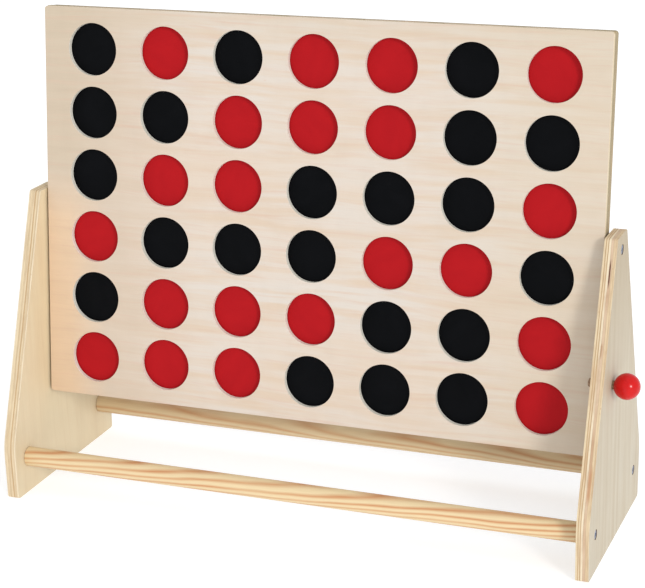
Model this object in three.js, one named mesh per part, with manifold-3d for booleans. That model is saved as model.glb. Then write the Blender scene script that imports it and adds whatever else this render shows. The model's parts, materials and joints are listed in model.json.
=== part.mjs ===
// Giant four in a row, a lawn game. An upright board with forty-two round windows hangs on two
// pivot screws between two plywood supports, which two dowels hold apart. The board leans back
// against a ball-headed pin and is turned over on its pivots to let the discs slide out.
//
// Millimetres, +X to the players' right, +Y to the rear, +Z up. The origin is on the ground, at the
// bottom centre of the whole object's box.
//
// The board's own frame has its centre on the pivot axis, X along the board, Z up its face.

import * as THREE from 'three';
import Module from 'manifold-3d';
import { mergeVertices } from 'three/addons/utils/BufferGeometryUtils.js';

const wasm = await Module();
wasm.setup();

// Driving dimensions

const GAP = 0.3; // between faces that touch on the real object
const COLUMNS = 7;
const ROWS = 6;
const COLUMN_PITCH = 75;
const DISC_RADIUS = 30;
const DISC_THICKNESS = 6;
const DISC_SIDE_CLEARANCE = 0.5;
const WINDOW_RADIUS = 25;

const BOARD_WIDTH = 551;
const BOARD_HEIGHT = 380;
const PANEL_THICKNESS = 5;
const SPACER_THICKNESS = 7.4;
const BOARD_CORNER_RADIUS = 3;
const BOARD_LEAN = THREE.MathUtils.degToRad(5.5);

const SUPPORT_THICKNESS = 12;
const SUPPORT_INNER_X = 278;
const SUPPORT_TOP_HALF_DEPTH = 18;
const SUPPORT_KNEE_HALF_DEPTH = 101;
const SUPPORT_FOOT_HALF_DEPTH = 100;
const SUPPORT_HEIGHT = 290.5;
const KNEE_HEIGHT = 54;
const KNEE_RADIUS = 60;
const SUPPORT_CORNER_RADIUS = 3;
const PIVOT_HEIGHT = 276.5;

const DOWEL_RADIUS = 9.5;
const DOWEL_HALF_SPACING = 76;
const DOWEL_HEIGHT = 36;

const SCREW_HEAD_RADIUS = 4.3;
const SCREW_HEAD_DEPTH = 2.6;
const SCREW_RADIUS = 2;
const SCREW_SUNK = 0.3;
const DOWEL_SCREW_LENGTH = 45;
const PIVOT_SCREW_LENGTH = 30;
const PIVOT_CLEARANCE = 0.4;
const WASHER_RADIUS = 4.5;
const WASHER_THICKNESS = 1.9;

const PIN_RADIUS = 4;
const PIN_DROP = 118; // below the pivot axis
const PIN_REACH = 9.7; // past the support's inner face
const PIN_IN_BALL = 15;
const PIN_TAPER = 0.8;
const BALL_RADIUS = 12;
const BALL_STAND_OFF = 1;

// The discs of a full board, from the top row down: R is red, B is black
const LAYOUT = ['BRBRRBR', 'BBRRRBB', 'BRRBBBR', 'RBBBRRB', 'BRRRBBR', 'RRRBBBR'];

// Sizes that follow from these

const ROW_PITCH = 2 * DISC_RADIUS + GAP;
const SUPPORT_OUTER_X = SUPPORT_INNER_X + SUPPORT_THICKNESS;
const BALL_CENTRE_X = SUPPORT_OUTER_X + BALL_STAND_OFF + BALL_RADIUS;
const BOARD_HALF_THICKNESS = SPACER_THICKNESS / 2 + GAP + PANEL_THICKNESS;
const RAIL_TOP = -(ROWS - 1) / 2 * ROW_PITCH - DISC_RADIUS - GAP;
const SCREW_END_X = SUPPORT_OUTER_X - SCREW_SUNK;
const PIN_Y = -PIN_DROP * Math.tan(BOARD_LEAN)
  - (BOARD_HALF_THICKNESS + GAP + PIN_RADIUS) / Math.cos(BOARD_LEAN);
const BOX_CENTRE_X = (BALL_CENTRE_X + BALL_RADIUS - SUPPORT_OUTER_X) / 2;

// How finely round shapes are divided

const DISC_SIDES = 20;
const WINDOW_SIDES = 16;
const ROD_SIDES = 20;
const SCREW_SIDES = 12;
const BALL_SIDES = 20;
const BALL_RINGS = 12;
const CORNER_STEPS = 3;
const KNEE_STEPS = 5;

// Materials

function finish(colour, roughness, metalness = 0) {
  return new THREE.MeshStandardMaterial({ color: colour, roughness, metalness });
}

const boardPly = finish(0xe6d3bb, 0.6);
const spacerPly = finish(0xb8a47c, 0.7);
const supportPly = finish(0xd0c3a8, 0.6);
const pine = finish(0xc08a50, 0.6);
const zinc = finish(0x9a9eab, 0.35, 1);
const redLacquer = finish(0xd81f24, 0.2);
const redPaint = finish(0xb51e24, 0.6);
const blackPaint = finish(0x0b0c0e, 0.6);

// Closed solids, cut with one another

function solidOf(geometry) {
  const bare = geometry.clone();
  bare.deleteAttribute('normal');
  bare.deleteAttribute('uv');
  const merged = mergeVertices(bare);
  const vertProperties = new Float32Array(merged.attributes.position.array);
  const triVerts = new Uint32Array(merged.index.array);
  return new wasm.Manifold(new wasm.Mesh({ numProp: 3, vertProperties, triVerts }));
}

function geometryOf(solid) {
  const mesh = solid.getMesh();
  const geometry = new THREE.BufferGeometry();
  geometry.setAttribute('position', new THREE.BufferAttribute(mesh.vertProperties, 3));
  geometry.setIndex(new THREE.BufferAttribute(mesh.triVerts, 1));
  geometry.computeVertexNormals();
  return geometry;
}

function cut(geometry, tools) {
  let solid = solidOf(geometry);
  for (const tool of tools) {
    solid = solid.subtract(solidOf(tool));
  }
  return geometryOf(solid);
}

// Outlines: a polygon whose corners are rounded, each to its own radius

function roundedOutline(corners) {
  const points = [];
  corners.forEach(({ at, radius, steps = CORNER_STEPS }, i) => {
    const before = corners[(i + corners.length - 1) % corners.length].at;
    const after = corners[(i + 1) % corners.length].at;
    const back = before.clone().sub(at).normalize();
    const on = after.clone().sub(at).normalize();
    const half = back.angleTo(on) / 2;
    const centre = back.clone().add(on).normalize().multiplyScalar(radius / Math.sin(half)).add(at);
    const start = back.multiplyScalar(radius / Math.tan(half)).add(at).sub(centre);
    const end = on.multiplyScalar(radius / Math.tan(half)).add(at).sub(centre);
    const turn = Math.PI - 2 * half;
    const side = Math.sign(start.cross(end));
    for (let step = 0; step <= steps; step += 1) {
      const spoke = start.clone().rotateAround(new THREE.Vector2(), side * turn * step / steps);
      points.push(spoke.add(centre));
    }
  });
  return points;
}

function corner(x, y, radius, steps) {
  return { at: new THREE.Vector2(x, y), radius, steps };
}

function roundHole(x, y, radius, sides) {
  const points = [];
  for (let i = 0; i < sides; i += 1) {
    const angle = 2 * Math.PI * (i + 0.5) / sides;
    points.push(new THREE.Vector2(x + radius * Math.cos(angle), y + radius * Math.sin(angle)));
  }
  return new THREE.Path(points);
}

function slab(outline, holes, thickness) {
  const shape = new THREE.Shape(outline);
  shape.holes = holes;
  return new THREE.ExtrudeGeometry(shape, { depth: thickness, bevelEnabled: false });
}

// A slab drawn in X and Z, with its middle at y
function uprightSlab(outline, holes, thickness, y) {
  return slab(outline, holes, thickness).rotateX(Math.PI / 2).translate(0, y + thickness / 2, 0);
}

// A slab drawn in Y and Z, from x onwards
function sideSlab(outline, holes, thickness, x) {
  return slab(outline, holes, thickness).rotateX(Math.PI / 2).rotateZ(Math.PI / 2).translate(x, 0, 0);
}

// A turned piece along X, from (distance along X, radius) pairs
function turned(profile, sides) {
  const points = profile.map(([along, radius]) => new THREE.Vector2(radius, -along));
  return new THREE.LatheGeometry(points, sides).rotateZ(Math.PI / 2);
}

function rodAlongX(radius, from, to, sides = ROD_SIDES) {
  const length = to - from;
  return new THREE.CylinderGeometry(radius, radius, length, sides)
    .rotateZ(Math.PI / 2)
    .translate(from + length / 2, 0, 0);
}

function piece(name, geometry, material) {
  const mesh = new THREE.Mesh(geometry, material);
  mesh.name = name;
  return mesh;
}

// Mirrors a piece that was made for the right-hand side
function mirroredGeometry(geometry) {
  return geometry.clone().rotateZ(Math.PI);
}

// Screws: a countersunk head with a cross recess, pointing to -X, with its face at x = 0

function screwGeometry(length) {
  const body = turned([
    [0, 0],
    [0, SCREW_HEAD_RADIUS],
    [-0.4, SCREW_HEAD_RADIUS],
    [-SCREW_HEAD_DEPTH, SCREW_RADIUS],
    [-length + SCREW_RADIUS, SCREW_RADIUS],
    [-length, 0],
  ], SCREW_SIDES);
  const recessDepth = 1.8;
  const recessWidth = 1;
  const recessSpan = 4.4;
  const slot = new THREE.BoxGeometry(2 * recessDepth, recessWidth, recessSpan);
  const crossSlot = new THREE.BoxGeometry(2 * recessDepth, recessSpan, recessWidth);
  return cut(body, [slot, crossSlot]);
}

// The hole that a screw needs in a support: a sunk mouth, a cone and a clearance hole
function screwHole(clearance) {
  const mouth = SCREW_HEAD_RADIUS + 0.5;
  const bore = SCREW_RADIUS + clearance;
  const coneStart = -SCREW_SUNK - 0.4 - GAP;
  const coneEnd = coneStart - (SCREW_HEAD_DEPTH - 0.4) * (mouth - bore) / (SCREW_HEAD_RADIUS - SCREW_RADIUS);
  return turned([
    [1, 0],
    [1, mouth],
    [coneStart, mouth],
    [coneEnd, bore],
    [-SUPPORT_THICKNESS - 1, bore],
    [-SUPPORT_THICKNESS - 1, 0],
  ], SCREW_SIDES);
}

// Stand

function supportOutline() {
  return roundedOutline([
    corner(-SUPPORT_FOOT_HALF_DEPTH, 0, SUPPORT_CORNER_RADIUS),
    corner(SUPPORT_FOOT_HALF_DEPTH, 0, SUPPORT_CORNER_RADIUS),
    corner(SUPPORT_KNEE_HALF_DEPTH, KNEE_HEIGHT, KNEE_RADIUS, KNEE_STEPS),
    corner(SUPPORT_TOP_HALF_DEPTH, SUPPORT_HEIGHT, SUPPORT_CORNER_RADIUS),
    corner(-SUPPORT_TOP_HALF_DEPTH, SUPPORT_HEIGHT, SUPPORT_CORNER_RADIUS),
    corner(-SUPPORT_KNEE_HALF_DEPTH, KNEE_HEIGHT, KNEE_RADIUS, KNEE_STEPS),
  ]);
}

// side is 1 on the right and -1 on the left
function support(name, side) {
  const holes = side > 0 ? [roundHole(PIN_Y, PIVOT_HEIGHT - PIN_DROP, PIN_RADIUS + GAP, ROD_SIDES)] : [];
  const plain = sideSlab(supportOutline(), holes, SUPPORT_THICKNESS, SUPPORT_INNER_X);
  const drills = [
    screwHole(PIVOT_CLEARANCE).translate(SUPPORT_OUTER_X, 0, PIVOT_HEIGHT),
    screwHole(GAP).translate(SUPPORT_OUTER_X, -DOWEL_HALF_SPACING, DOWEL_HEIGHT),
    screwHole(GAP).translate(SUPPORT_OUTER_X, DOWEL_HALF_SPACING, DOWEL_HEIGHT),
  ];
  const drilled = cut(plain, drills);
  return piece(name, side > 0 ? drilled : mirroredGeometry(drilled), supportPly);
}

function dowel(name, y) {
  const half = SUPPORT_INNER_X - GAP;
  const screwTip = SCREW_END_X - DOWEL_SCREW_LENGTH - GAP;
  const pilot = SCREW_RADIUS + GAP;
  const drilled = cut(rodAlongX(DOWEL_RADIUS, -half, half), [
    rodAlongX(pilot, screwTip, half + 1, SCREW_SIDES),
    rodAlongX(pilot, -half - 1, -screwTip, SCREW_SIDES),
  ]);
  const mesh = piece(name, drilled, pine);
  mesh.position.set(0, y, DOWEL_HEIGHT);
  return mesh;
}

function dowelScrew(name, side, y) {
  const right = screwGeometry(DOWEL_SCREW_LENGTH).translate(SCREW_END_X, 0, 0);
  const mesh = piece(name, side > 0 ? right : mirroredGeometry(right), zinc);
  mesh.position.set(0, y, DOWEL_HEIGHT);
  return mesh;
}

function stand() {
  const group = new THREE.Group();
  group.add(support('left_support', -1));
  group.add(support('right_support', 1));
  group.add(dowel('front_dowel', -DOWEL_HALF_SPACING));
  group.add(dowel('rear_dowel', DOWEL_HALF_SPACING));
  group.add(dowelScrew('front_left_dowel_screw', -1, -DOWEL_HALF_SPACING));
  group.add(dowelScrew('front_right_dowel_screw', 1, -DOWEL_HALF_SPACING));
  group.add(dowelScrew('rear_left_dowel_screw', -1, DOWEL_HALF_SPACING));
  group.add(dowelScrew('rear_right_dowel_screw', 1, DOWEL_HALF_SPACING));
  return group;
}

// Board, in its own frame

function columnX(column) {
  return (column - (COLUMNS - 1) / 2) * COLUMN_PITCH;
}

function rowZ(row) {
  return ((ROWS - 1) / 2 - row) * ROW_PITCH;
}

function boardOutline() {
  const x = BOARD_WIDTH / 2;
  const z = BOARD_HEIGHT / 2;
  return roundedOutline([
    corner(-x, -z, BOARD_CORNER_RADIUS),
    corner(x, -z, BOARD_CORNER_RADIUS),
    corner(x, z, BOARD_CORNER_RADIUS),
    corner(-x, z, BOARD_CORNER_RADIUS),
  ]);
}

// side is -1 for the front and 1 for the back
function panel(name, side) {
  const windows = [];
  for (let column = 0; column < COLUMNS; column += 1) {
    for (let row = 0; row < ROWS; row += 1) {
      windows.push(roundHole(columnX(column), rowZ(row), WINDOW_RADIUS, WINDOW_SIDES));
    }
  }
  const y = side * (SPACER_THICKNESS / 2 + GAP + PANEL_THICKNESS / 2);
  return piece(name, uprightSlab(boardOutline(), windows, PANEL_THICKNESS, y), boardPly);
}

// The bottom rail, the side strips and the dividers, cut from one sheet, with a slot for each column
function spacerComb() {
  const x = BOARD_WIDTH / 2;
  const z = BOARD_HEIGHT / 2;
  const slotHalfWidth = DISC_RADIUS + DISC_SIDE_CLEARANCE;
  const outline = [new THREE.Vector2(-x, z), new THREE.Vector2(-x, -z)];
  outline.push(new THREE.Vector2(x, -z), new THREE.Vector2(x, z));
  for (let column = COLUMNS - 1; column >= 0; column -= 1) {
    const right = columnX(column) + slotHalfWidth;
    const left = columnX(column) - slotHalfWidth;
    outline.push(new THREE.Vector2(right, z), new THREE.Vector2(right, RAIL_TOP));
    outline.push(new THREE.Vector2(left, RAIL_TOP), new THREE.Vector2(left, z));
  }
  const plain = uprightSlab(outline, [], SPACER_THICKNESS, 0);
  const screwTip = SCREW_END_X - PIVOT_SCREW_LENGTH - GAP;
  const pilot = SCREW_RADIUS + GAP;
  const drilled = cut(plain, [
    rodAlongX(pilot, screwTip, x + 1, SCREW_SIDES),
    rodAlongX(pilot, -x - 1, -screwTip, SCREW_SIDES),
  ]);
  return piece('spacer_comb', drilled, spacerPly);
}

function pivotScrew(name, side) {
  const right = screwGeometry(PIVOT_SCREW_LENGTH).translate(SCREW_END_X, 0, 0);
  return piece(name, side > 0 ? right : mirroredGeometry(right), zinc);
}

function washer(name, side) {
  const middle = (BOARD_WIDTH / 2 + SUPPORT_INNER_X) / 2;
  const bore = SCREW_RADIUS + GAP;
  const disc = rodAlongX(WASHER_RADIUS, -WASHER_THICKNESS / 2, WASHER_THICKNESS / 2);
  const ring = cut(disc, [rodAlongX(bore, -WASHER_THICKNESS, WASHER_THICKNESS, SCREW_SIDES)]);
  const mesh = piece(name, ring, zinc);
  mesh.position.x = side * middle;
  return mesh;
}

function gameDisc(column, row) {
  const red = LAYOUT[row][column] === 'R';
  const name = `${red ? 'red' : 'black'}_disc_c${column + 1}_r${row + 1}`;
  const geometry = new THREE.CylinderGeometry(DISC_RADIUS, DISC_RADIUS, DISC_THICKNESS, DISC_SIDES);
  const mesh = piece(name, geometry, red ? redPaint : blackPaint);
  mesh.position.set(columnX(column), 0, rowZ(row));
  return mesh;
}

function board() {
  const group = new THREE.Group();
  group.add(panel('front_panel', -1), panel('back_panel', 1), spacerComb());
  group.add(pivotScrew('left_pivot_screw', -1), pivotScrew('right_pivot_screw', 1));
  group.add(washer('left_washer', -1), washer('right_washer', 1));
  for (let column = 0; column < COLUMNS; column += 1) {
    for (let row = 0; row < ROWS; row += 1) {
      group.add(gameDisc(column, row));
    }
  }
  group.position.z = PIVOT_HEIGHT;
  group.rotation.x = -BOARD_LEAN;
  return group;
}

// Ball-headed pin, through the right support and in front of the board

function lockPin() {
  const from = SUPPORT_INNER_X - PIN_REACH;
  const to = BALL_CENTRE_X - BALL_RADIUS + PIN_IN_BALL - GAP;
  const profile = [
    [to, 0],
    [to, PIN_RADIUS],
    [from + PIN_TAPER, PIN_RADIUS],
    [from, PIN_RADIUS - PIN_TAPER],
    [from, 0],
  ];
  return piece('lock_pin', turned(profile, ROD_SIDES), pine);
}

function ballKnob() {
  const ball = new THREE.SphereGeometry(BALL_RADIUS, BALL_SIDES, BALL_RINGS)
    .rotateZ(Math.PI / 2)
    .translate(BALL_CENTRE_X, 0, 0);
  const bottom = BALL_CENTRE_X - BALL_RADIUS + PIN_IN_BALL;
  const bore = rodAlongX(PIN_RADIUS + GAP, SUPPORT_OUTER_X, bottom);
  return piece('ball_knob', cut(ball, [bore]), redLacquer);
}

function ballPin() {
  const group = new THREE.Group();
  group.add(lockPin(), ballKnob());
  group.position.set(0, PIN_Y, PIVOT_HEIGHT - PIN_DROP);
  return group;
}

const game = new THREE.Group();
game.add(stand(), board(), ballPin());
game.position.x = -BOX_CENTRE_X;

export default game;
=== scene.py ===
import json
import math

import bmesh
import bpy
from mathutils import Matrix, Quaternion, Vector
from mathutils.geometry import delaunay_2d_cdt


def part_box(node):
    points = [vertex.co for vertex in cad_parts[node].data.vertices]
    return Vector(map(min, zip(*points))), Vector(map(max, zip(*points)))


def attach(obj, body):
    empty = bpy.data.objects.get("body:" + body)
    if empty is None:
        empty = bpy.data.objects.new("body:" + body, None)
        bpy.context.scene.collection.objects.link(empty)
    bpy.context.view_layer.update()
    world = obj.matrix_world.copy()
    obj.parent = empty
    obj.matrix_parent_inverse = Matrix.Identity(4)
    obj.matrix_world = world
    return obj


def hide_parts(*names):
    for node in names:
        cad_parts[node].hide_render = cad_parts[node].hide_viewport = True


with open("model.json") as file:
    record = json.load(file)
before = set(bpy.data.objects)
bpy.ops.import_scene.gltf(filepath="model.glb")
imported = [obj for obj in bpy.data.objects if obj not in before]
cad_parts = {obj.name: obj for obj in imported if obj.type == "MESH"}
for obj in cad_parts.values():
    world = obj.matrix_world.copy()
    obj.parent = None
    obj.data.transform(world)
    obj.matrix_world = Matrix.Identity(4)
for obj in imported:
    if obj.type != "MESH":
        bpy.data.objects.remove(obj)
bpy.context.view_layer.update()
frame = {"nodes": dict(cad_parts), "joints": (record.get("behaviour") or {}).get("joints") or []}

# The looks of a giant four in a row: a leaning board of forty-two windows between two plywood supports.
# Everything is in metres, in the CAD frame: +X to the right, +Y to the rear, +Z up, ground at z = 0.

# Sizes of the CAD part

COLUMNS = 7
DISC_RADIUS = 0.030
DISC_THICKNESS = 0.006
SLOT_HALF_WIDTH = 0.0305
WINDOW_RADIUS = 0.025
BOARD_HALF_WIDTH = 0.2755
BOARD_HALF_HEIGHT = 0.190
BOARD_CORNER_RADIUS = 0.003
PANEL_INNER_Y = 0.004
PANEL_OUTER_Y = 0.009
SPACER_HALF_THICKNESS = 0.0037
RAIL_TOP_Z = -0.18105

SUPPORT_TOP_HALF_DEPTH = 0.018
KNEE_HALF_DEPTH = 0.101
KNEE_HEIGHT = 0.054
KNEE_RADIUS = 0.060
FOOT_HALF_DEPTH = 0.100
SUPPORT_HEIGHT = 0.2905
SUPPORT_CORNER_RADIUS = 0.003
DOWEL_RADIUS = 0.0095
DOWEL_BORE_DEPTH = 0.0336

SCREW_HEAD_RADIUS = 0.0043
SCREW_HEAD_DEPTH = 0.0026
SCREW_RADIUS = 0.002
SCREW_SUNK = 0.0003
SCREW_BORE = 0.0023
PIVOT_SCREW_BORE = 0.0024
SCREW_MOUTH_RADIUS = 0.0048
SCREW_MOUTH_DEPTH = 0.0007
WASHER_RADIUS = 0.0045
PIN_RADIUS = 0.004
PIN_HOLE_RADIUS = 0.0043
BALL_RADIUS = 0.012
GAP = 0.0003

# Sizes of detail that is finer in the visual than in the CAD part

SCREW_CONE_DEPTH = 0.0022
RECESS_DEPTH = 0.0017
RECESS_HALF_WIDTH = 0.0006
RECESS_TOP_REACH = 0.0026
RECESS_BOTTOM_REACH = 0.0012
RECESS_TURN = math.radians(20)
SUPPORT_ROUNDING = 0.0006
BOARD_ROUNDING = 0.0003
ROD_ROUNDING = 0.0004
DOWEL_FACE_INSET = 0.001
WASHER_FACE_INSET = 0.0009
DISC_ROUNDING = 0.0008
DISC_FACE_INSET = 0.0015
DISC_INNER_RING = 0.012
BALL_MOUTH_DEPTH = 0.0004
BALL_MOUTH_WIDTH = 0.0001

# Soft edges, as pairs: how far along from the end, how far inside the radius
SCREW_HEAD_EDGE = [(0.0, 0.0008), (0.0001, 0.0003), (0.00025, 0.00008), (0.0004, 0.0)]
PIN_TIP_EDGE = [(0.0012, 0.0), (0.0006, 0.0003), (0.0001, 0.0010), (0.0, 0.0016)]

# Places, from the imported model

joints = {joint["name"]: joint for joint in frame["joints"]}
ACROSS = Vector((1, 0, 0))
PIVOT = Vector(joints["board_flip"]["pos_m"])
BOARD_UP = Vector(joints["column_1_slide"]["axis"])
BOARD_REAR = BOARD_UP.cross(ACROSS)
BOARD = Matrix.Translation(PIVOT) @ Matrix((ACROSS, BOARD_REAR, BOARD_UP)).transposed().to_4x4()


def centre_of(node):
    low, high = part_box(node)
    return (low + high) / 2


def in_board(point):
    return BOARD.inverted() @ point


# Camera: from the front, turned to the right and a little above

CAMERA_TARGET = Vector((-0.0061, -0.00019, 0.20778))
CAMERA_AZIMUTH = math.radians(21.456)
CAMERA_ELEVATION = math.radians(17.973)
CAMERA_ROLL = math.radians(-1.218)
CAMERA_DISTANCE = 1.8098
CAMERA_LENS = 107.487
SENSOR_WIDTH = 36


def direction(azimuth, elevation):
    level = math.cos(elevation)
    return Vector((math.sin(azimuth) * level, -math.cos(azimuth) * level, math.sin(elevation)))


def make_camera():
    back = direction(CAMERA_AZIMUTH, CAMERA_ELEVATION)
    camera = bpy.data.objects.new("camera", bpy.data.cameras.new("camera"))
    camera.data.lens = CAMERA_LENS
    camera.data.sensor_width = SENSOR_WIDTH
    camera.rotation_mode = "QUATERNION"
    camera.location = CAMERA_TARGET + back * CAMERA_DISTANCE
    camera.rotation_quaternion = back.to_track_quat("Z", "Y") @ Quaternion((0, 0, 1), CAMERA_ROLL)
    bpy.context.scene.collection.objects.link(camera)
    bpy.context.scene.camera = camera


# Light: an even white room, and one soft key from the right

SUN_AZIMUTH = math.radians(47)
SUN_ELEVATION = math.radians(19.5)
SUN_WIDTH = math.radians(14)
SUN_ENERGY = 1.45
SUN_COLOUR = (1.0, 0.985, 0.96)
ROOM_STRENGTH = 0.85
ROOM_COLOUR = (0.97, 0.985, 1.0, 1.0)


def make_light():
    sun = bpy.data.objects.new("key", bpy.data.lights.new("key", "SUN"))
    sun.data.energy = SUN_ENERGY
    sun.data.angle = SUN_WIDTH
    sun.data.color = SUN_COLOUR
    sun.rotation_mode = "QUATERNION"
    sun.rotation_quaternion = direction(SUN_AZIMUTH, SUN_ELEVATION).to_track_quat("Z", "Y")
    bpy.context.scene.collection.objects.link(sun)
    world = bpy.data.worlds.new("room")
    world.use_nodes = True
    background = world.node_tree.nodes["Background"]
    background.inputs["Color"].default_value = ROOM_COLOUR
    background.inputs["Strength"].default_value = ROOM_STRENGTH
    bpy.context.scene.world = world
    bpy.context.scene.view_settings.view_transform = "Standard"


# Materials: one node tree each, patterned on two attributes that every piece carries.
# "grain" is a place in the wood in metres, X along the grain. "ply" runs from 0 to 1 through a sheet,
# and from 0 to 1 up a screw's recess. It is 1 on everything else.

class Tree:
    def __init__(self, name, **surface):
        self.material = bpy.data.materials.new(name)
        self.material.use_nodes = True
        self.nodes = self.material.node_tree.nodes
        self.links = self.material.node_tree.links
        self.shader = self.nodes["Principled BSDF"]
        for socket, value in surface.items():
            self.shader.inputs[socket.replace("_", " ")].default_value = value

    def node(self, kind, inputs, **settings):
        made = self.nodes.new(kind)
        for setting, value in settings.items():
            setattr(made, setting, value)
        for socket, value in inputs.items():
            if isinstance(value, bpy.types.NodeSocket):
                self.links.new(value, made.inputs[socket])
            else:
                made.inputs[socket].default_value = value
        return made

    def grain(self):
        return self.node("ShaderNodeAttribute", {}, attribute_name="grain").outputs["Vector"]

    def ply(self):
        return self.node("ShaderNodeAttribute", {}, attribute_name="ply").outputs["Fac"]

    def place(self):
        """A place in the CAD frame, as the piece lies at rest."""
        return self.node("ShaderNodeTexCoord", {}).outputs["Object"]

    def height(self):
        return self.node("ShaderNodeSeparateXYZ", {"Vector": self.place()}).outputs["Z"]

    def stretch(self, vector, along, across, through=None):
        scale = (along, across, across if through is None else through)
        return self.node("ShaderNodeMapping", {"Vector": vector, "Scale": scale}).outputs["Vector"]

    def shift(self, vector, amount):
        made = self.node("ShaderNodeVectorMath", {0: vector, 1: amount}, operation="ADD")
        return made.outputs["Vector"]

    def noise(self, vector, detail, roughness=0.5):
        inputs = {"Vector": vector, "Scale": 1.0, "Detail": detail, "Roughness": roughness}
        return self.node("ShaderNodeTexNoise", inputs).outputs["Fac"]

    def span(self, value, low, high, to_low=0.0, to_high=1.0):
        inputs = {"Value": value, "From Min": low, "From Max": high, "To Min": to_low, "To Max": to_high}
        return self.node("ShaderNodeMapRange", inputs).outputs["Result"]

    def math(self, operation, first, second=0.0):
        return self.node("ShaderNodeMath", {0: first, 1: second}, operation=operation).outputs["Value"]

    def ramp(self, value, stops, interpolation="LINEAR"):
        made = self.node("ShaderNodeValToRGB", {"Fac": value})
        ramp = made.color_ramp
        ramp.interpolation = interpolation
        while len(ramp.elements) < len(stops):
            ramp.elements.new(1.0)
        for element, (position, colour) in zip(ramp.elements, stops):
            element.position = position
            element.color = (*colour, 1.0)
        return made.outputs["Color"]

    def mix(self, amount, first, second, blend="MIX"):
        made = self.node("ShaderNodeMix", {}, data_type="RGBA", blend_type=blend)
        for socket, value in (("Factor_Float", amount), ("A_Color", first), ("B_Color", second)):
            target = next(s for s in made.inputs if s.identifier == socket)
            if isinstance(value, bpy.types.NodeSocket):
                self.links.new(value, target)
            else:
                target.default_value = (*value, 1.0) if isinstance(value, tuple) else value
        return next(s for s in made.outputs if s.identifier == "Result_Color")

    def near(self, value, middle, half):
        """1 close to a middle value, falling to 0 at a half width from it."""
        away = self.math("ABSOLUTE", self.math("SUBTRACT", value, middle))
        return self.span(away, half, 0.5 * half)

    def dim(self, colour, value, low, high, darkest):
        """The colour, darkened to a share where the value is at low, and as it is from high on."""
        grey = self.span(value, low, high, darkest, 1.0)
        return self.mix(1.0, colour, grey, "MULTIPLY")

    def bump(self, height, distance, strength):
        made = self.node("ShaderNodeBump", {"Height": height, "Distance": distance, "Strength": strength})
        self.links.new(made.outputs["Normal"], self.shader.inputs["Normal"])

    def finish(self, colour, roughness):
        self.links.new(colour, self.shader.inputs["Base Color"])
        self.links.new(roughness, self.shader.inputs["Roughness"])
        return self.material


def rgb(red, green, blue):
    """A linear colour from its everyday 0 to 255 values."""
    def linear(value):
        share = value / 255
        return share / 12.92 if share <= 0.04045 else ((share + 0.055) / 1.055) ** 2.4
    return (linear(red), linear(green), linear(blue))


BLACK = (0, 0, 0)
WHITE = (1, 1, 1)


def veneer(name, pale, warm, streak, contrast, scale, tints=(), knots=()):
    """Sanded veneer: soft bands along the grain, fine fibres, a few streaks and specks.

    Scale is for the bands, along and across the grain. A tint is its slopes, its share and its colour;
    some tints are wood tone and some are painted shade.
    A slope is an axis and the places on it where the tint starts and is full. A knot is its place and
    its radius.
    """
    tree = Tree(name, Specular_IOR_Level=0.35)
    grain = tree.grain()
    drift = tree.noise(tree.stretch(grain, 5, 14), 2)
    lift = tree.span(drift, 0, 1, -0.008, 0.008)
    wavy = tree.shift(grain, tree.node("ShaderNodeCombineXYZ", {"Y": lift}).outputs["Vector"])
    bands = tree.noise(tree.stretch(wavy, *scale), 3, 0.55)
    colour = tree.mix(tree.span(bands, 0.42, 0.66), pale, warm)
    colour = tree.mix(tree.span(drift, 0.4, 0.7, 0.0, 0.6), colour, warm)
    place = tree.place()
    parts = tree.node("ShaderNodeSeparateXYZ", {"Vector": place}).outputs
    for slopes, share, tint in tints:
        for axis, start, full in slopes:
            share = tree.math("MULTIPLY", tree.span(parts[axis], start, full), share)
        colour = tree.mix(share, colour, tint)
    colour = tree.dim(colour, bands, 0.66, 0.42, 0.96)
    streaks = tree.noise(tree.stretch(wavy, 12, 300), 4, 0.6)
    colour = tree.mix(tree.span(streaks, 0.52, 0.78, 0.0, contrast), colour, streak)
    for knot, radius in knots:
        away = tree.node("ShaderNodeVectorMath", {0: place, 1: knot}, operation="DISTANCE")
        dark = tree.span(away.outputs["Value"], radius, 0.4 * radius, 0.0, 0.7)
        colour = tree.mix(dark, colour, streak)
    ripple = tree.noise(tree.stretch(wavy, 55, 28), 2)
    colour = tree.dim(colour, ripple, 0.3, 0.55, 0.98)
    fibres = tree.noise(tree.stretch(wavy, 45, 1900), 3, 0.65)
    colour = tree.dim(colour, fibres, 0.25, 0.6, 0.96)
    specks = tree.noise(tree.stretch(wavy, 200, 800), 1)
    colour = tree.mix(tree.span(specks, 0.78, 0.84, 0.0, 0.6), colour, streak)
    tree.bump(tree.math("ADD", fibres, streaks), 0.00012, 0.35)
    return tree.finish(colour, tree.span(fibres, 0.3, 0.7, 0.62, 0.5))


GLUE_HALF_WIDTH = 0.016
LAYERS_APART = (9, 9, 9)


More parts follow.
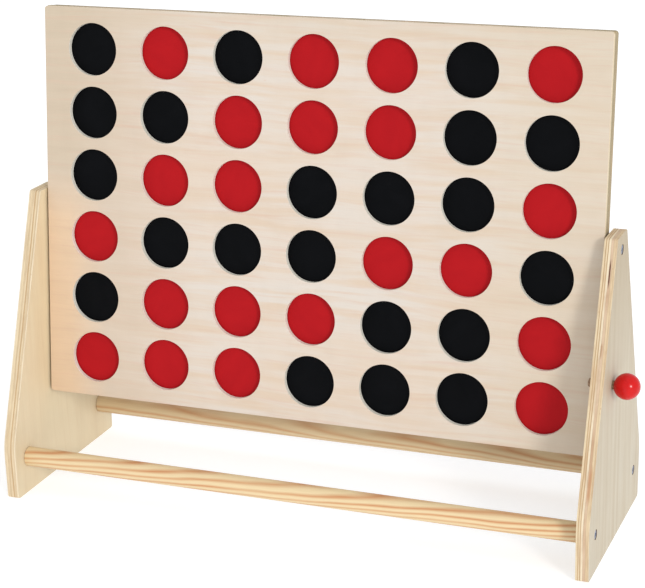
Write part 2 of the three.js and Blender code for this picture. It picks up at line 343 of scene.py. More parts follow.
def ply_edge(name, layers, glue, pore, contrast, marks=()):
    """The cut edge of a plywood sheet: layers with their own tones, and thin glue lines between them.

    A layer is its share of the sheet and its colour. A mark is its height, its half length, its depth in
    the sheet, its half width, its share and its colour.
    """
    tree = Tree(name, Specular_IOR_Level=0.3)
    grain = tree.grain()
    wander = tree.span(tree.noise(tree.stretch(grain, 22, 30, 60), 2), 0, 1, -0.03, 0.03)
    depth = tree.math("ADD", tree.ply(), wander)
    stops, tags = [], []
    glue_stops = [(0.0, BLACK)]
    start = 0.0
    for i, (share, colour) in enumerate(layers):
        stops.append((start, colour))
        tags.append((start, ((0.37 * i) % 1, (0.61 * i) % 1, (0.83 * i) % 1)))
        start += share
        if i + 1 < len(layers):
            before, after = start - GLUE_HALF_WIDTH, start + GLUE_HALF_WIDTH
            glue_stops += [(before, BLACK), (start, WHITE), (after, BLACK)]
    colour = tree.ramp(depth, stops, "CONSTANT")
    glue_line = tree.ramp(depth, glue_stops)
    tag = tree.ramp(depth, tags, "CONSTANT")
    far = tree.node("ShaderNodeVectorMath", {0: tag, 1: LAYERS_APART}, operation="MULTIPLY")
    apart = far.outputs["Vector"]
    tone = tree.noise(tree.shift(tree.stretch(grain, 17, 30), apart), 3, 0.6)
    colour = tree.mix(tree.span(tone, 0.45, 0.68, 0.0, contrast), colour, pore)
    patches = tree.noise(tree.shift(tree.stretch(grain, 30, 260, 900), apart), 3, 0.6)
    colour = tree.dim(colour, patches, 0.3, 0.62, 0.88)
    fibres = tree.noise(tree.stretch(grain, 190, 700, 2300), 3, 0.6)
    colour = tree.dim(colour, fibres, 0.3, 0.6, 0.93)
    holes = tree.noise(tree.stretch(grain, 60, 500, 700), 1)
    colour = tree.mix(tree.span(holes, 0.74, 0.8, 0.0, 0.6), colour, pore)
    glue_noise = tree.noise(tree.shift(tree.stretch(grain, 26, 80), apart), 2)
    shown = tree.span(glue_noise, 0.35, 0.62, 0.12, 0.75)
    colour = tree.mix(tree.math("MULTIPLY", glue_line, shown), colour, glue)
    for height, half_length, deep, half_width, share, tint in marks:
        inside_mark = tree.math("MULTIPLY", tree.near(tree.height(), height, half_length),
                                tree.near(depth, deep, half_width))
        colour = tree.mix(tree.math("MULTIPLY", inside_mark, share), colour, tint)
    tree.bump(tree.math("SUBTRACT", fibres, glue_line), 0.00015, 0.4)
    return tree.finish(colour, tree.span(fibres, 0.3, 0.7, 0.75, 0.6))


def pine(name, early, late, ring_pitch, pith):
    """Turned pine: growth rings round a pith that runs askew to the rod, cut by its round surface.

    The pith is its offsets along Y and Z and its turns about them.
    """
    tree = Tree(name, Specular_IOR_Level=0.4)
    grain = tree.grain()
    slow = tree.noise(tree.stretch(grain, 7, 30), 2)
    askew = tree.node("ShaderNodeMapping", {
        "Vector": grain,
        "Location": (0.0, pith[0], pith[1]),
        "Rotation": (0.0, pith[2], pith[3]),
    }).outputs["Vector"]
    parts = tree.node("ShaderNodeSeparateXYZ", {"Vector": askew})
    across = tree.math("POWER", parts.outputs["Y"], 2.0)
    up = tree.math("POWER", parts.outputs["Z"], 2.0)
    radius = tree.math("SQRT", tree.math("ADD", across, up))
    even_rings = tree.math("MULTIPLY", radius, 1 / ring_pitch)
    tooth = tree.math("FRACT", tree.math("ADD", even_rings, tree.span(slow, 0, 1, -1.0, 1.0)))
    growth = tree.ramp(tooth, [(0.0, BLACK), (0.3, (0.1, 0.1, 0.1)), (0.65, WHITE), (1.0, BLACK)])
    ring_tone = tree.span(tree.noise(tree.stretch(grain, 6, 120), 2), 0.3, 0.6, 0.55, 1.0)
    colour = tree.mix(tree.math("MULTIPLY", growth, ring_tone), early, late)
    fibres = tree.noise(tree.stretch(grain, 40, 1700), 3, 0.65)
    colour = tree.dim(colour, fibres, 0.28, 0.62, 0.93)
    tree.bump(tree.math("SUBTRACT", fibres, growth), 0.0001, 0.3)
    return tree.finish(colour, tree.span(fibres, 0.3, 0.7, 0.6, 0.48))


def paint(name, main, worn, roughness):
    """Flat paint on a wooden disc: the wood's fibres show through faintly."""
    tree = Tree(name, Specular_IOR_Level=0.06)
    grain = tree.grain()
    clouds = tree.noise(tree.stretch(grain, 30, 60), 3, 0.6)
    colour = tree.mix(tree.span(clouds, 0.3, 0.75), main, worn)
    fibres = tree.noise(tree.stretch(grain, 90, 1500), 3, 0.6)
    peel = tree.noise(tree.stretch(grain, 1900, 1900), 2)
    tree.bump(tree.math("ADD", fibres, tree.math("MULTIPLY", peel, 0.5)), 0.00008, 0.3)
    return tree.finish(colour, tree.span(clouds, 0.2, 0.8, roughness - 0.06, roughness + 0.06))


def lacquer(name, main, deep):
    """Thick gloss lacquer on a turned ball."""
    tree = Tree(name, Specular_IOR_Level=0.05, Coat_Weight=0.45, Coat_Roughness=0.2)
    grain = tree.grain()
    clouds = tree.noise(tree.stretch(grain, 120, 120), 3, 0.6)
    colour = tree.mix(tree.span(clouds, 0.3, 0.7), main, deep)
    orange_peel = tree.noise(tree.stretch(grain, 700, 700), 1)
    tree.bump(orange_peel, 0.00004, 0.15)
    return tree.finish(colour, tree.span(orange_peel, 0.3, 0.7, 0.2, 0.3))


def zinc(name):
    """Blue zinc plate with fine turning marks, turning near black where ply is low: painted shade deep in
    a screw's recess. The plate colour is kept darker than bare zinc, as a painted reflection of darker
    surroundings.
    """
    tree = Tree(name, Metallic=1.0)
    grain = tree.grain()
    stains = tree.noise(tree.stretch(grain, 600, 600), 3, 0.6)
    # Darker than bare zinc: partly the plate's own blue tone, partly a painted reflection of darker
    # surroundings.
    colour = tree.mix(tree.span(stains, 0.3, 0.7), rgb(150, 160, 182), rgb(112, 120, 140))
    # Painted shade: the plate turns near black deep in the recess, where ply is low.
    colour = tree.mix(tree.span(tree.ply(), 0.2, 0.8), rgb(34, 34, 38), colour)
    marks = tree.noise(tree.stretch(grain, 6000, 900), 2)
    tree.bump(marks, 0.00003, 0.3)
    return tree.finish(colour, tree.span(marks, 0.3, 0.7, 0.3, 0.45))


def floor_paper(name):
    tree = Tree(name, Specular_IOR_Level=0.1, Emission_Color=(1, 1, 1, 1), Emission_Strength=0.5)
    place = tree.place()
    clouds = tree.noise(tree.stretch(place, 1.5, 1.5), 3)
    colour = tree.mix(tree.span(clouds, 0.3, 0.7), (0.64, 0.65, 0.67), (0.66, 0.67, 0.69))
    tooth = tree.noise(tree.stretch(place, 900, 900), 2)
    tree.bump(tooth, 0.0001, 0.2)
    return tree.finish(colour, tree.span(tooth, 0.3, 0.7, 0.85, 0.95))


CREAM = rgb(225, 205, 170)
PALE = rgb(231, 215, 186)
TAN = rgb(201, 166, 124)
ROSE_TAN = rgb(212, 185, 156)
CORE = rgb(218, 194, 158)
OLIVE = rgb(160, 144, 112)
GLUE = rgb(122, 88, 58)
CRUSHED_AND_SHADED_WOOD = rgb(104, 80, 56)

# Plywood layers, from a sheet's inner face to its outer one

FRONT_PANEL_LAYERS = [(0.3, PALE), (0.4, rgb(208, 192, 162)), (0.3, PALE)]
BACK_PANEL_LAYERS = [(0.3, OLIVE), (0.4, rgb(172, 156, 124)), (0.3, OLIVE)]
WINDOW_LAYERS = [(0.32, rgb(236, 232, 222)), (0.36, rgb(226, 220, 206)), (0.32, rgb(238, 234, 224))]
SPACER_LAYERS = [(0.34, OLIVE), (0.32, rgb(172, 155, 120)), (0.34, OLIVE)]
# Walls of the screw holes: dark, partly crushed wood of the countersink and partly painted shade down in
# the holes.
BORE_LAYERS = [(0.5, CRUSHED_AND_SHADED_WOOD), (0.5, CRUSHED_AND_SHADED_WOOD)]
RIGHT_LAYERS = [
    (0.145, CREAM), (0.05, TAN), (0.12, CREAM), (0.055, TAN),
    (0.155, PALE), (0.2, ROSE_TAN), (0.18, CORE), (0.095, CREAM),
]
LEFT_LAYERS = [
    (0.11, PALE), (0.10, CORE), (0.14, CREAM), (0.09, TAN),
    (0.16, CREAM), (0.10, CORE), (0.18, CREAM), (0.12, PALE),
]

# A stain, a mineral streak and a warm patch on the edge of the right support

RIGHT_MARKS = [
    (0.262, 0.013, 0.60, 0.07, 0.95, rgb(92, 50, 36)),
    (0.198, 0.007, 0.56, 0.08, 0.5, rgb(150, 106, 70)),
    (0.088, 0.018, 0.70, 0.16, 0.6, rgb(180, 124, 80)),
]

# Slow changes of colour over the faces, partly wood tone and partly painted shade, and two small knots

BOARD_TONES_AND_SHADE = [
    ([("X", -0.125, -0.21)], 0.75, rgb(204, 186, 166)),
    # Painted shade: the upper left of the board greyer and darker.
    ([("X", -0.20, -0.262), ("Z", 0.27, 0.32)], 0.8, rgb(197, 180, 157)),
    ([("X", -0.225, -0.265), ("Z", 0.31, 0.26)], 0.9, rgb(219, 190, 158)),
    ([("X", 0.09, 0.22)], 0.6, rgb(208, 192, 169)),
    # Painted shade: the board darker along its top.
    ([("Z", 0.42, 0.462)], 0.25, rgb(200, 186, 162)),
]
# Painted shade: the left support's inner face darker towards the bottom, where the board's shadow falls.
LEFT_PAINTED_SHADE = [([("Z", 0.18, 0.05)], 0.75, rgb(206, 190, 160))]
# Painted shade: the right support's outer face darker towards the top.
RIGHT_PAINTED_SHADE = [([("Z", 0.14, 0.27)], 0.75, rgb(175, 158, 130))]
LEFT_KNOTS = [((-0.278, 0.008, 0.034), 0.0026), ((-0.278, -0.002, 0.029), 0.0012)]

looks = {
    "panel_face": veneer(
        "panel_face", rgb(212, 202, 191), rgb(214, 194, 173), rgb(206, 170, 148), 0.45, (9, 120),
        BOARD_TONES_AND_SHADE),
    "front_edge": ply_edge("front_edge", FRONT_PANEL_LAYERS, GLUE, TAN, 0.3),
    "back_edge": ply_edge("back_edge", BACK_PANEL_LAYERS, GLUE, TAN, 0.3),
    "window_edge": ply_edge("window_edge", WINDOW_LAYERS, rgb(196, 186, 166), rgb(214, 206, 188), 0.3),
    "spacer_face": veneer(
        "spacer_face", rgb(184, 166, 130), rgb(175, 155, 118), rgb(148, 122, 86), 0.6, (8, 110)),
    "spacer_edge": ply_edge("spacer_edge", SPACER_LAYERS, GLUE, GLUE, 0.3),
    "left_face": veneer(
        "left_face", rgb(225, 210, 178), rgb(224, 204, 168), rgb(196, 166, 126), 0.25, (4, 45),
        LEFT_PAINTED_SHADE, LEFT_KNOTS),
    "left_edge": ply_edge("left_edge", LEFT_LAYERS, GLUE, rgb(176, 142, 104), 0.4),
    "right_face": veneer(
        "right_face", rgb(196, 187, 169), rgb(189, 175, 151), rgb(174, 157, 129), 0.5, (4, 100),
        RIGHT_PAINTED_SHADE),
    "right_edge": ply_edge("right_edge", RIGHT_LAYERS, GLUE, rgb(178, 134, 96), 0.5, RIGHT_MARKS),
    "bore_edge": ply_edge("bore_edge", BORE_LAYERS, CRUSHED_AND_SHADED_WOOD, rgb(70, 50, 32), 0.3),
    "front_dowel": pine(
        "front_dowel", rgb(228, 206, 163), rgb(198, 136, 88), 0.0050, (0.004, 0.034, 0.06, 0.012)),
    "rear_dowel": pine(
        "rear_dowel", rgb(214, 193, 154), rgb(192, 144, 100), 0.0046, (-0.014, 0.03, -0.045, 0.01)),
    # The pin's pine is far darker than the dowels': painted shade, since the pin's tip sits in shadow.
    "pin_wood": pine("pin_wood", rgb(150, 122, 94), rgb(124, 94, 68), 0.0030, (0.004, 0.012, 0.02, 0.0)),
    "zinc_steel": zinc("zinc_steel"),
    "red_lacquer": lacquer("red_lacquer", rgb(204, 16, 16), rgb(190, 12, 14)),
    "red_paint": paint("red_paint", rgb(166, 20, 27), rgb(174, 23, 29), 0.5),
    "black_paint": paint("black_paint", rgb(3, 4, 6), rgb(8, 9, 12), 0.55),
}

# Meshes

CUT_PAST = 0.001
SAME_POINT = 1e-7
SAME_POINT_DIGITS = 7
BEVEL_STEPS = 3
BEVEL_ANGLE = math.radians(35)
SHARP_ANGLE = math.radians(40)
CORNER_STEPS = 9
KNEE_STEPS = 15
WINDOW_SIDES = 72
SUPPORT_HOLE_SIDES = 48
SPACER_BORE_SIDES = 32
SCREW_SIDES = 48
PIN_SIDES = 48
ROD_SIDES = 64
DISC_SIDES = 96
BALL_SIDES = 96
BALL_RINGS = 48
FLOOR_SIDES = 96


def mesh_object(name, points, faces, face_slots=None):
    mesh = bpy.data.meshes.new(name)
    mesh.from_pydata([tuple(p) for p in points], [], faces)
    mesh.update()
    made = bpy.data.objects.new(name, mesh)
    bpy.context.scene.collection.objects.link(made)
    if face_slots:
        mesh.polygons.foreach_set("material_index", face_slots)
    return made


def apply_modifiers(made):
    """Turns the object's modifiers into its mesh."""
    bpy.context.view_layer.update()
    graph = bpy.context.evaluated_depsgraph_get()
    finished = made.evaluated_get(graph)
    mesh = bpy.data.meshes.new_from_object(finished, preserve_all_data_layers=True, depsgraph=graph)
    made.modifiers.clear()
    old = made.data
    made.data = mesh
    bpy.data.meshes.remove(old)


def round_edges(made, radius):
    made.data.shade_smooth()
    bevel = made.modifiers.new("rounding", "BEVEL")
    bevel.width = radius
    bevel.segments = BEVEL_STEPS
    bevel.limit_method = "ANGLE"
    bevel.angle_limit = BEVEL_ANGLE
    bevel.harden_normals = True
    apply_modifiers(made)


def smooth(made):
    made.data.shade_smooth()
    made.data.set_sharp_from_angle(angle=SHARP_ANGLE)


def subtract(made, cutter):
    boolean = made.modifiers.new("cut", "BOOLEAN")
    boolean.operation = "DIFFERENCE"
    boolean.solver = "EXACT"
    boolean.object = cutter
    apply_modifiers(made)
    bpy.data.objects.remove(cutter)


def circle(centre, radius, count):
    angles = [2 * math.pi * i / count for i in range(count)]
    return [centre + radius * Vector((math.cos(angle), math.sin(angle))) for angle in angles]


def rounded_outline(corners):
    """A closed outline from (corner, radius, steps) entries."""
    outline = []
    for i, (at, radius, steps) in enumerate(corners):
        at = Vector(at)
        back = (Vector(corners[i - 1][0]) - at).normalized()
        on = (Vector(corners[(i + 1) % len(corners)][0]) - at).normalized()
        half = back.angle(on) / 2
        centre = at + (back + on).normalized() * radius / math.sin(half)
        start = at + back * radius / math.tan(half) - centre
        end = at + on * radius / math.tan(half) - centre
        turn = (math.pi - 2 * half) * (1 if start.x * end.y > start.y * end.x else -1)
        for step in range(steps + 1):
            angle = turn * step / steps
            x = start.x * math.cos(angle) - start.y * math.sin(angle)
            y = start.x * math.sin(angle) + start.y * math.cos(angle)
            outline.append(centre + Vector((x, y)))
    return outline


def inside(point, outline):
    """Whether a point is inside a closed outline."""
    odd = False
    for i in range(len(outline)):
        a, b = outline[i - 1], outline[i]
        if (a.y > point.y) != (b.y > point.y):
            if point.x < a.x + (b.x - a.x) * (point.y - a.y) / (b.y - a.y):
                odd = not odd
    return odd


def filled(outline, holes):
    """Triangles between an outline and its round holes, as lists of places in outline + holes.

    A hole is its centre and the points of its rim.
    """
    points = list(outline)
    loops = [list(range(len(outline)))]
    for _, rim in holes:
        loops.append(list(range(len(points), len(points) + len(rim))))
        points += rim
    edges = [(loop[i - 1], loop[i]) for loop in loops for i in range(len(loop))]
    found, _, faces, _, _, _ = delaunay_2d_cdt(points, edges, [], 0, SAME_POINT)
    if len(found) != len(points):
        raise ValueError("an outline crosses itself or a hole")

    def rounded(point):
        return round(point.x, SAME_POINT_DIGITS), round(point.y, SAME_POINT_DIGITS)

    where = {rounded(point): i for i, point in enumerate(points)}
    order = [where[rounded(point)] for point in found]
    kept = []
    for face in faces:
        middle = sum((found[i] for i in face), Vector((0, 0))) / 3
        in_hole = any((middle - centre).length < (rim[0] - centre).length for centre, rim in holes)
        if not in_hole and inside(middle, outline):
            kept.append([order[i] for i in face])
    return kept


def sheet(name, outline, holes, low, high, axes):
    """A flat sheet from low to high along the third axis, whose outline is drawn in the first two.

    A hole is its centre, its number of sides, and its (depth, radius) steps from high to low. Material
    slot 0 is for the sheet's faces, 1 for its edges and 2 for its holes.
    """
    points, faces, slots = [], [], []

    def add_ring(ring, depth):
        start = len(points)
        points.extend(axes[0] * p.x + axes[1] * p.y + axes[2] * depth for p in ring)
        return list(range(start, start + len(ring)))

    def add_wall(upper, lower, slot):
        for i in range(len(upper)):
            faces.append([upper[i - 1], upper[i], lower[i], lower[i - 1]])
            slots.append(slot)

    rims = [[circle(centre, radius, sides) for _, radius in steps] for centre, sides, steps in holes]
    tops = [add_ring(outline, high)]
    bottoms = [add_ring(outline, low)]
    add_wall(tops[0], bottoms[0], 1)
    for (_, _, steps), rings in zip(holes, rims):
        indices = [add_ring(ring, depth) for ring, (depth, _) in zip(rings, steps)]
        for upper, lower in zip(indices, indices[1:]):
            add_wall(upper, lower, 2)
        tops.append(indices[0])
        bottoms.append(indices[-1])
    for side, chosen in ((tops, 0), (bottoms, -1)):
        flat = [i for ring in side for i in ring]
        for face in filled(outline, [(hole[0], rings[chosen]) for hole, rings in zip(holes, rims)]):
            faces.append([flat[i] for i in face])
            slots.append(0)
    made = mesh_object(name, points, faces, slots)
    outward(made)
    return made


def outward(made):
    """Points all faces of a closed mesh outward."""
    mesh = bmesh.new()
    mesh.from_mesh(made.data)
    bmesh.ops.recalc_face_normals(mesh, faces=mesh.faces)
    mesh.to_mesh(made.data)
    mesh.free()


def turned(name, profile, sides, closed=False):
    """A turned piece along X from (along, radius) pairs: closed joins the last pair to the first."""
    points, rings = [], []
    for along, radius in profile:
        count = sides if radius > 0 else 1
        rings.append(list(range(len(points), len(points) + count)))
        for i in range(count):
            angle = 2 * math.pi * i / sides
            points.append(Vector((along, radius * math.cos(angle), radius * math.sin(angle))))
    faces = []
    pairs = list(zip(rings, rings[1:])) + ([(rings[-1], rings[0])] if closed else [])
    for first, second in pairs:
        for i in range(sides):
            corners = [first[i % len(first)], first[(i + 1) % len(first)]]
            corners += [second[(i + 1) % len(second)], second[i % len(second)]]
            faces.append([c for j, c in enumerate(corners) if c != corners[j - 1]])
    made = mesh_object(name, points, faces)
    outward(made)
    smooth(made)
    return made


def rounded_corner(along, radius, size, start, steps=4):
    """Profile pairs round an outer corner that would be at (along, radius), over 90 degrees from start."""
    outer = Vector((math.cos(start + math.pi / 4), math.sin(start + math.pi / 4)))
    centre = Vector((along, radius))
    centre -= size * Vector((math.copysign(1, outer.x), math.copysign(1, outer.y)))
    pairs = []
    for step in range(steps + 1):
        angle = start + math.pi / 2 * step / steps
        pairs.append((centre.x + size * math.cos(angle), centre.y + size * math.sin(angle)))
    return pairs


def place(made, matrix):
    made.data.transform(matrix)
    made.data.update()


LOG_STEP = Vector((0.73, 0.41, 0.59))
pieces_made = 0


def dress(made, body, node, materials, grain_axes, grain_origin, ply=None, own_log=True):
    """Gives a piece its materials and its wood coordinates, ties it to its CAD body, and hides the CAD
    node that it stands for.

    Ply is where its layers start and end along the third grain axis. With own_log, the piece gets its own
    place in the endless wood, so that no two pieces look the same.
    """
    global pieces_made
    pieces_made += 1
    apart = LOG_STEP * (pieces_made if own_log else 0)
    mesh = made.data
    grain, layer = [], []
    for vertex in mesh.vertices:
        offset = vertex.co - grain_origin
        grain.extend(Vector([axis.dot(offset) for axis in grain_axes]) + apart)
        layer.append((grain_axes[2].dot(offset) - ply[0]) / (ply[1] - ply[0]) if ply else 1.0)
    mesh.attributes.new("grain", "FLOAT_VECTOR", "POINT").data.foreach_set("vector", grain)
    mesh.attributes.new("ply", "FLOAT", "POINT").data.foreach_set("value", layer)
    for material in materials:
        mesh.materials.append(looks[material])
    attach(made, body)
    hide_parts(node)


WORLD_AXES = (Vector((1, 0, 0)), Vector((0, 1, 0)), Vector((0, 0, 1)))
X, Y, Z = WORLD_AXES

# Stand


def support_outline():
    return rounded_outline([
        ((-FOOT_HALF_DEPTH, 0), SUPPORT_CORNER_RADIUS, CORNER_STEPS),
        ((FOOT_HALF_DEPTH, 0), SUPPORT_CORNER_RADIUS, CORNER_STEPS),
        ((KNEE_HALF_DEPTH, KNEE_HEIGHT), KNEE_RADIUS, KNEE_STEPS),
        ((SUPPORT_TOP_HALF_DEPTH, SUPPORT_HEIGHT), SUPPORT_CORNER_RADIUS, CORNER_STEPS),
        ((-SUPPORT_TOP_HALF_DEPTH, SUPPORT_HEIGHT), SUPPORT_CORNER_RADIUS, CORNER_STEPS),
        ((-KNEE_HALF_DEPTH, KNEE_HEIGHT), KNEE_RADIUS, KNEE_STEPS),
    ])


def screw_hole_steps(thickness, bore):
    cone_start = thickness - SCREW_SUNK - SCREW_MOUTH_DEPTH
    return [
        (thickness, SCREW_MOUTH_RADIUS),
        (cone_start, SCREW_MOUTH_RADIUS),
        (cone_start - SCREW_CONE_DEPTH, bore),
        (0.0, bore),
    ]


def make_support(side):
    name = "right_support" if side > 0 else "left_support"
    low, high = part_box(name)
    inner = Vector((low.x if side > 0 else high.x, 0, 0))
    thickness = high.x - low.x
    drills = [(PIVOT, PIVOT_SCREW_BORE)]
    drills += [(centre_of(dowel), SCREW_BORE) for dowel in ("front_dowel", "rear_dowel")]
    drilled = [(at, screw_hole_steps(thickness, bore)) for at, bore in drills]
    if side > 0:
        drilled.append((centre_of("lock_pin"), [(thickness, PIN_HOLE_RADIUS), (0.0, PIN_HOLE_RADIUS)]))
    holes = [(Vector((at.y, at.z)), SUPPORT_HOLE_SIDES, steps) for at, steps in drilled]
    made = sheet("visual_" + name, support_outline(), holes, 0.0, thickness, (Y, Z, side * X))
    round_edges(made, SUPPORT_ROUNDING)
    place(made, Matrix.Translation(inner))
    prefix = "right" if side > 0 else "left"
    dress(made, "stand", name, [prefix + "_face", prefix + "_edge", "bore_edge"],
          (Z, Y, side * X), inner, (0.0, thickness))


def make_dowel(name):
    low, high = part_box(name)
    centre = centre_of(name)
    half = (high.x - low.x) / 2
    bottom = half - DOWEL_BORE_DEPTH
    face_edge = DOWEL_RADIUS - DOWEL_FACE_INSET
    right = [(bottom, 0.0), (bottom, SCREW_BORE), (half, SCREW_BORE), (half, face_edge)]
    right += rounded_corner(half, DOWEL_RADIUS, ROD_ROUNDING, 0.0)
    left = [(-along, radius) for along, radius in reversed(right)]
    made = turned("visual_" + name, right + left, ROD_SIDES)
    place(made, Matrix.Translation(centre))
    dress(made, "stand", name, [name],
          WORLD_AXES, Vector((0, centre.y, centre.z)), own_log=False)


def recess_blade(turn):
    """One of the two tapered blades that cut a screw's cross recess."""
    points = []
    for along, reach in ((CUT_PAST, RECESS_TOP_REACH), (-RECESS_DEPTH, RECESS_BOTTOM_REACH)):
        for y, z in ((-1, -1), (1, -1), (1, 1), (-1, 1)):
            points.append(Vector((along, y * reach, z * RECESS_HALF_WIDTH)))
    faces = [(0, 1, 2, 3), (7, 6, 5, 4), (0, 4, 5, 1), (1, 5, 6, 2), (2, 6, 7, 3), (3, 7, 4, 0)]
    blade = mesh_object("blade", points, faces)
    outward(blade)
    place(blade, Matrix.Rotation(turn, 4, "X"))
    return blade


def make_screw(name, body, length, side, matrix):
    """A countersunk screw along X, with its head's face at the origin of the matrix."""
    profile = [(0, 0)]
    profile += [(-along, SCREW_HEAD_RADIUS - inset) for along, inset in SCREW_HEAD_EDGE]
    profile += [(-SCREW_HEAD_DEPTH, SCREW_RADIUS), (-length + SCREW_RADIUS, SCREW_RADIUS), (-length, 0)]
    made = turned("visual_" + name, profile, SCREW_SIDES)
    subtract(made, recess_blade(0))
    subtract(made, recess_blade(math.pi / 2))
    smooth(made)
    turn = Matrix.Identity(4) if side > 0 else Matrix.Rotation(math.pi, 4, "Z")
    place(made, matrix @ turn @ Matrix.Rotation(RECESS_TURN, 4, "X"))
    dress(made, body, name, ["zinc_steel"], (Y, Z, side * X),
          matrix.translation, (-RECESS_DEPTH, 0.0))


def make_dowel_screws():
    for along, dowel in (("front", "front_dowel"), ("rear", "rear_dowel")):
        centre = centre_of(dowel)
        for prefix, side in (("left", -1), ("right", 1)):
            name = f"{along}_{prefix}_dowel_screw"
            low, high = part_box(name)
            at = Vector((high.x if side > 0 else low.x, centre.y, centre.z))
            make_screw(name, "stand", high.x - low.x, side, Matrix.Translation(at))


# Board, made in its own frame and then leant back

BOARD_AXES = (ACROSS, BOARD_REAR, BOARD_UP)

disc_names = {}
for node in frame["nodes"]:
    if "_disc_c" in node:
        column, row = node.split("_disc_c")[1].split("_r")
        disc_names[int(column), int(row)] = node


def window_centre(column, row):
    at = in_board(centre_of(disc_names[column, row]))
    return Vector((at.x, at.z))


def board_outline():
    x, z = BOARD_HALF_WIDTH, BOARD_HALF_HEIGHT
    corners = [(-x, -z), (x, -z), (x, z), (-x, z)]
    return rounded_outline([(corner, BOARD_CORNER_RADIUS, CORNER_STEPS) for corner in corners])


def make_panel(name, side, edge):
    steps = [(PANEL_OUTER_Y, WINDOW_RADIUS), (PANEL_INNER_Y, WINDOW_RADIUS)]
    windows = [(window_centre(*where), WINDOW_SIDES, steps) for where in sorted(disc_names)]
    axes = (X, Z, side * Y)
    made = sheet("visual_" + name, board_outline(), windows, PANEL_INNER_Y, PANEL_OUTER_Y, axes)
    round_edges(made, BOARD_ROUNDING)
    place(made, BOARD)
    dress(made, "board", name, ["panel_face", edge, "window_edge"],
          (ACROSS, BOARD_UP, side * BOARD_REAR), PIVOT, (PANEL_INNER_Y, PANEL_OUTER_Y))


def make_spacer():
    x, z = BOARD_HALF_WIDTH, BOARD_HALF_HEIGHT
    outline = [Vector((-x, z)), Vector((-x, -z)), Vector((x, -z)), Vector((x, z))]
    for column in range(COLUMNS, 0, -1):
        middle = window_centre(column, 1).x
        for side, heights in ((1, (z, RAIL_TOP_Z)), (-1, (RAIL_TOP_Z, z))):
            outline += [Vector((middle + side * SLOT_HALF_WIDTH, height)) for height in heights]
    half = SPACER_HALF_THICKNESS
    made = sheet("visual_spacer_comb", outline, [], -half, half, (X, Z, Y))
    for side in (-1, 1):
        low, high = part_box("right_pivot_screw" if side > 0 else "left_pivot_screw")
        tip = in_board(Vector((low.x if side > 0 else high.x, PIVOT.y, PIVOT.z))).x
        bottom, mouth = tip - side * GAP, side * (x + CUT_PAST)
        profile = [(bottom, 0), (bottom, SCREW_BORE), (mouth, SCREW_BORE), (mouth, 0)]
        subtract(made, turned("bore", profile, SPACER_BORE_SIDES))
    round_edges(made, BOARD_ROUNDING)
    place(made, BOARD)
    dress(made, "board", "spacer_comb", ["spacer_face", "spacer_edge"],
          (ACROSS, BOARD_UP, BOARD_REAR), PIVOT, (-half, half))


def make_washer(name):
    low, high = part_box(name)
    half = (high.x - low.x) / 2
    face_edge = WASHER_RADIUS - WASHER_FACE_INSET
    profile = [(-half, SCREW_BORE), (half, SCREW_BORE), (half, face_edge)]
    profile += rounded_corner(half, WASHER_RADIUS, ROD_ROUNDING, 0.0)
    profile += rounded_corner(-half, WASHER_RADIUS, ROD_ROUNDING, math.pi / 2)
    profile.append((-half, face_edge))
    made = turned("visual_" + name, profile, ROD_SIDES, closed=True)
    place(made, BOARD @ Matrix.Translation(in_board(centre_of(name))))
    dress(made, "board", name, ["zinc_steel"], BOARD_AXES, PIVOT)


def make_pivots():
    for prefix, side in (("left", -1), ("right", 1)):
        name = prefix + "_pivot_screw"
        low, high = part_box(name)
        head = in_board(Vector((high.x if side > 0 else low.x, PIVOT.y, PIVOT.z)))
        make_screw(name, "board", high.x - low.x, side, BOARD @ Matrix.Translation(head))
        make_washer(prefix + "_washer")


GOLDEN_ANGLE = 137.5


def make_discs():
    half = DISC_THICKNESS / 2
    face_edge = DISC_RADIUS - DISC_FACE_INSET
    profile = [(half, 0), (half, DISC_INNER_RING), (half, face_edge)]
    profile += rounded_corner(half, DISC_RADIUS, DISC_ROUNDING, 0.0)
    profile += rounded_corner(-half, DISC_RADIUS, DISC_ROUNDING, math.pi / 2)
    profile += [(-half, face_edge), (-half, DISC_INNER_RING), (-half, 0)]
    facing_front = Matrix.Rotation(math.pi / 2, 4, "Z")
    for (column, row), name in sorted(disc_names.items()):
        made = turned("visual_" + name, profile, DISC_SIDES)
        centre = in_board(centre_of(name))
        place(made, BOARD @ Matrix.Translation(centre) @ facing_front)
        turn = math.radians(GOLDEN_ANGLE * (COLUMNS * row + column))
        along = ACROSS * math.cos(turn) + BOARD_UP * math.sin(turn)
        across = BOARD_UP * math.cos(turn) - ACROSS * math.sin(turn)
        slot = "red_paint" if name.startswith("red") else "black_paint"
        dress(made, f"disc_c{column}_r{row}", name, [slot],
              (along, across, BOARD_REAR), BOARD @ centre)


# Ball-headed pin


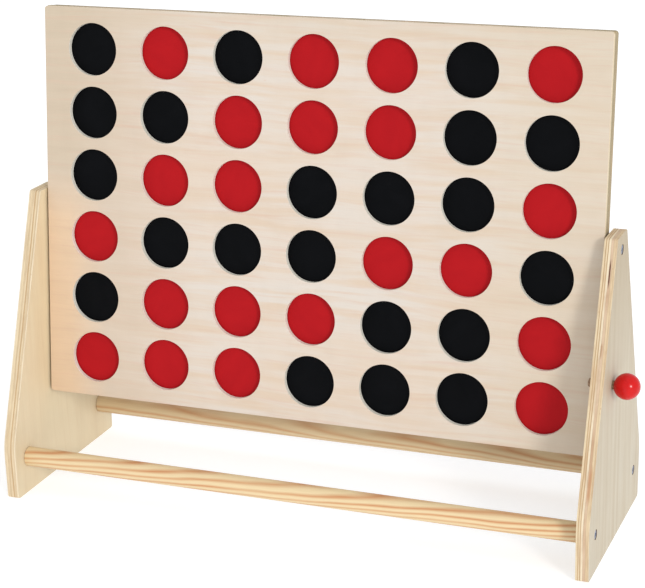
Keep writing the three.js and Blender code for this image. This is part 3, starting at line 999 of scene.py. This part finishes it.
def make_pin():
    low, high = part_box("lock_pin")
    centre = centre_of("lock_pin")
    half = (high.x - low.x) / 2
    profile = [(half, 0), (half, PIN_RADIUS)]
    profile += [(-half + along, PIN_RADIUS - inset) for along, inset in PIN_TIP_EDGE]
    profile.append((-half, 0))
    made = turned("visual_lock_pin", profile, PIN_SIDES)
    place(made, Matrix.Translation(centre))
    dress(made, "ball_pin", "lock_pin", ["pin_wood"], WORLD_AXES, centre, own_log=False)


def make_ball():
    pin = centre_of("lock_pin")
    centre = Vector((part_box("ball_knob")[1].x - BALL_RADIUS, pin.y, pin.z))
    bore = PIN_HOLE_RADIUS
    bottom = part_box("lock_pin")[1].x + GAP - centre.x
    mouth = -math.sqrt(BALL_RADIUS ** 2 - bore ** 2)
    profile = [(bottom, 0), (bottom, bore)]
    profile += [(mouth + BALL_MOUTH_DEPTH, bore), (mouth, bore + BALL_MOUTH_WIDTH)]
    first = math.asin(bore / BALL_RADIUS)
    for ring in range(1, BALL_RINGS):
        angle = first + (math.pi - first) * ring / BALL_RINGS
        profile.append((-BALL_RADIUS * math.cos(angle), BALL_RADIUS * math.sin(angle)))
    profile.append((BALL_RADIUS, 0))
    made = turned("visual_ball_knob", profile, BALL_SIDES)
    place(made, Matrix.Translation(centre))
    dress(made, "ball_pin", "ball_knob", ["red_lacquer"], WORLD_AXES, centre)


# Floor

FLOOR_THICKNESS = 0.002
FLOOR_RINGS = (30, 10, 3, 0)


def make_floor():
    profile = [(-FLOOR_THICKNESS, 0), (-FLOOR_THICKNESS, FLOOR_RINGS[0])]
    profile += [(0, radius) for radius in FLOOR_RINGS]
    made = turned("floor", profile, FLOOR_SIDES)
    place(made, Matrix.Rotation(-math.pi / 2, 4, "Y"))
    made.data.materials.append(floor_paper("floor_paper"))


make_camera()
make_light()
make_support(-1)
make_support(1)
make_dowel("front_dowel")
make_dowel("rear_dowel")
make_dowel_screws()
make_panel("front_panel", -1, "front_edge")
make_panel("back_panel", 1, "back_edge")
make_spacer()
make_pivots()
make_discs()
make_pin()
make_ball()
make_floor()
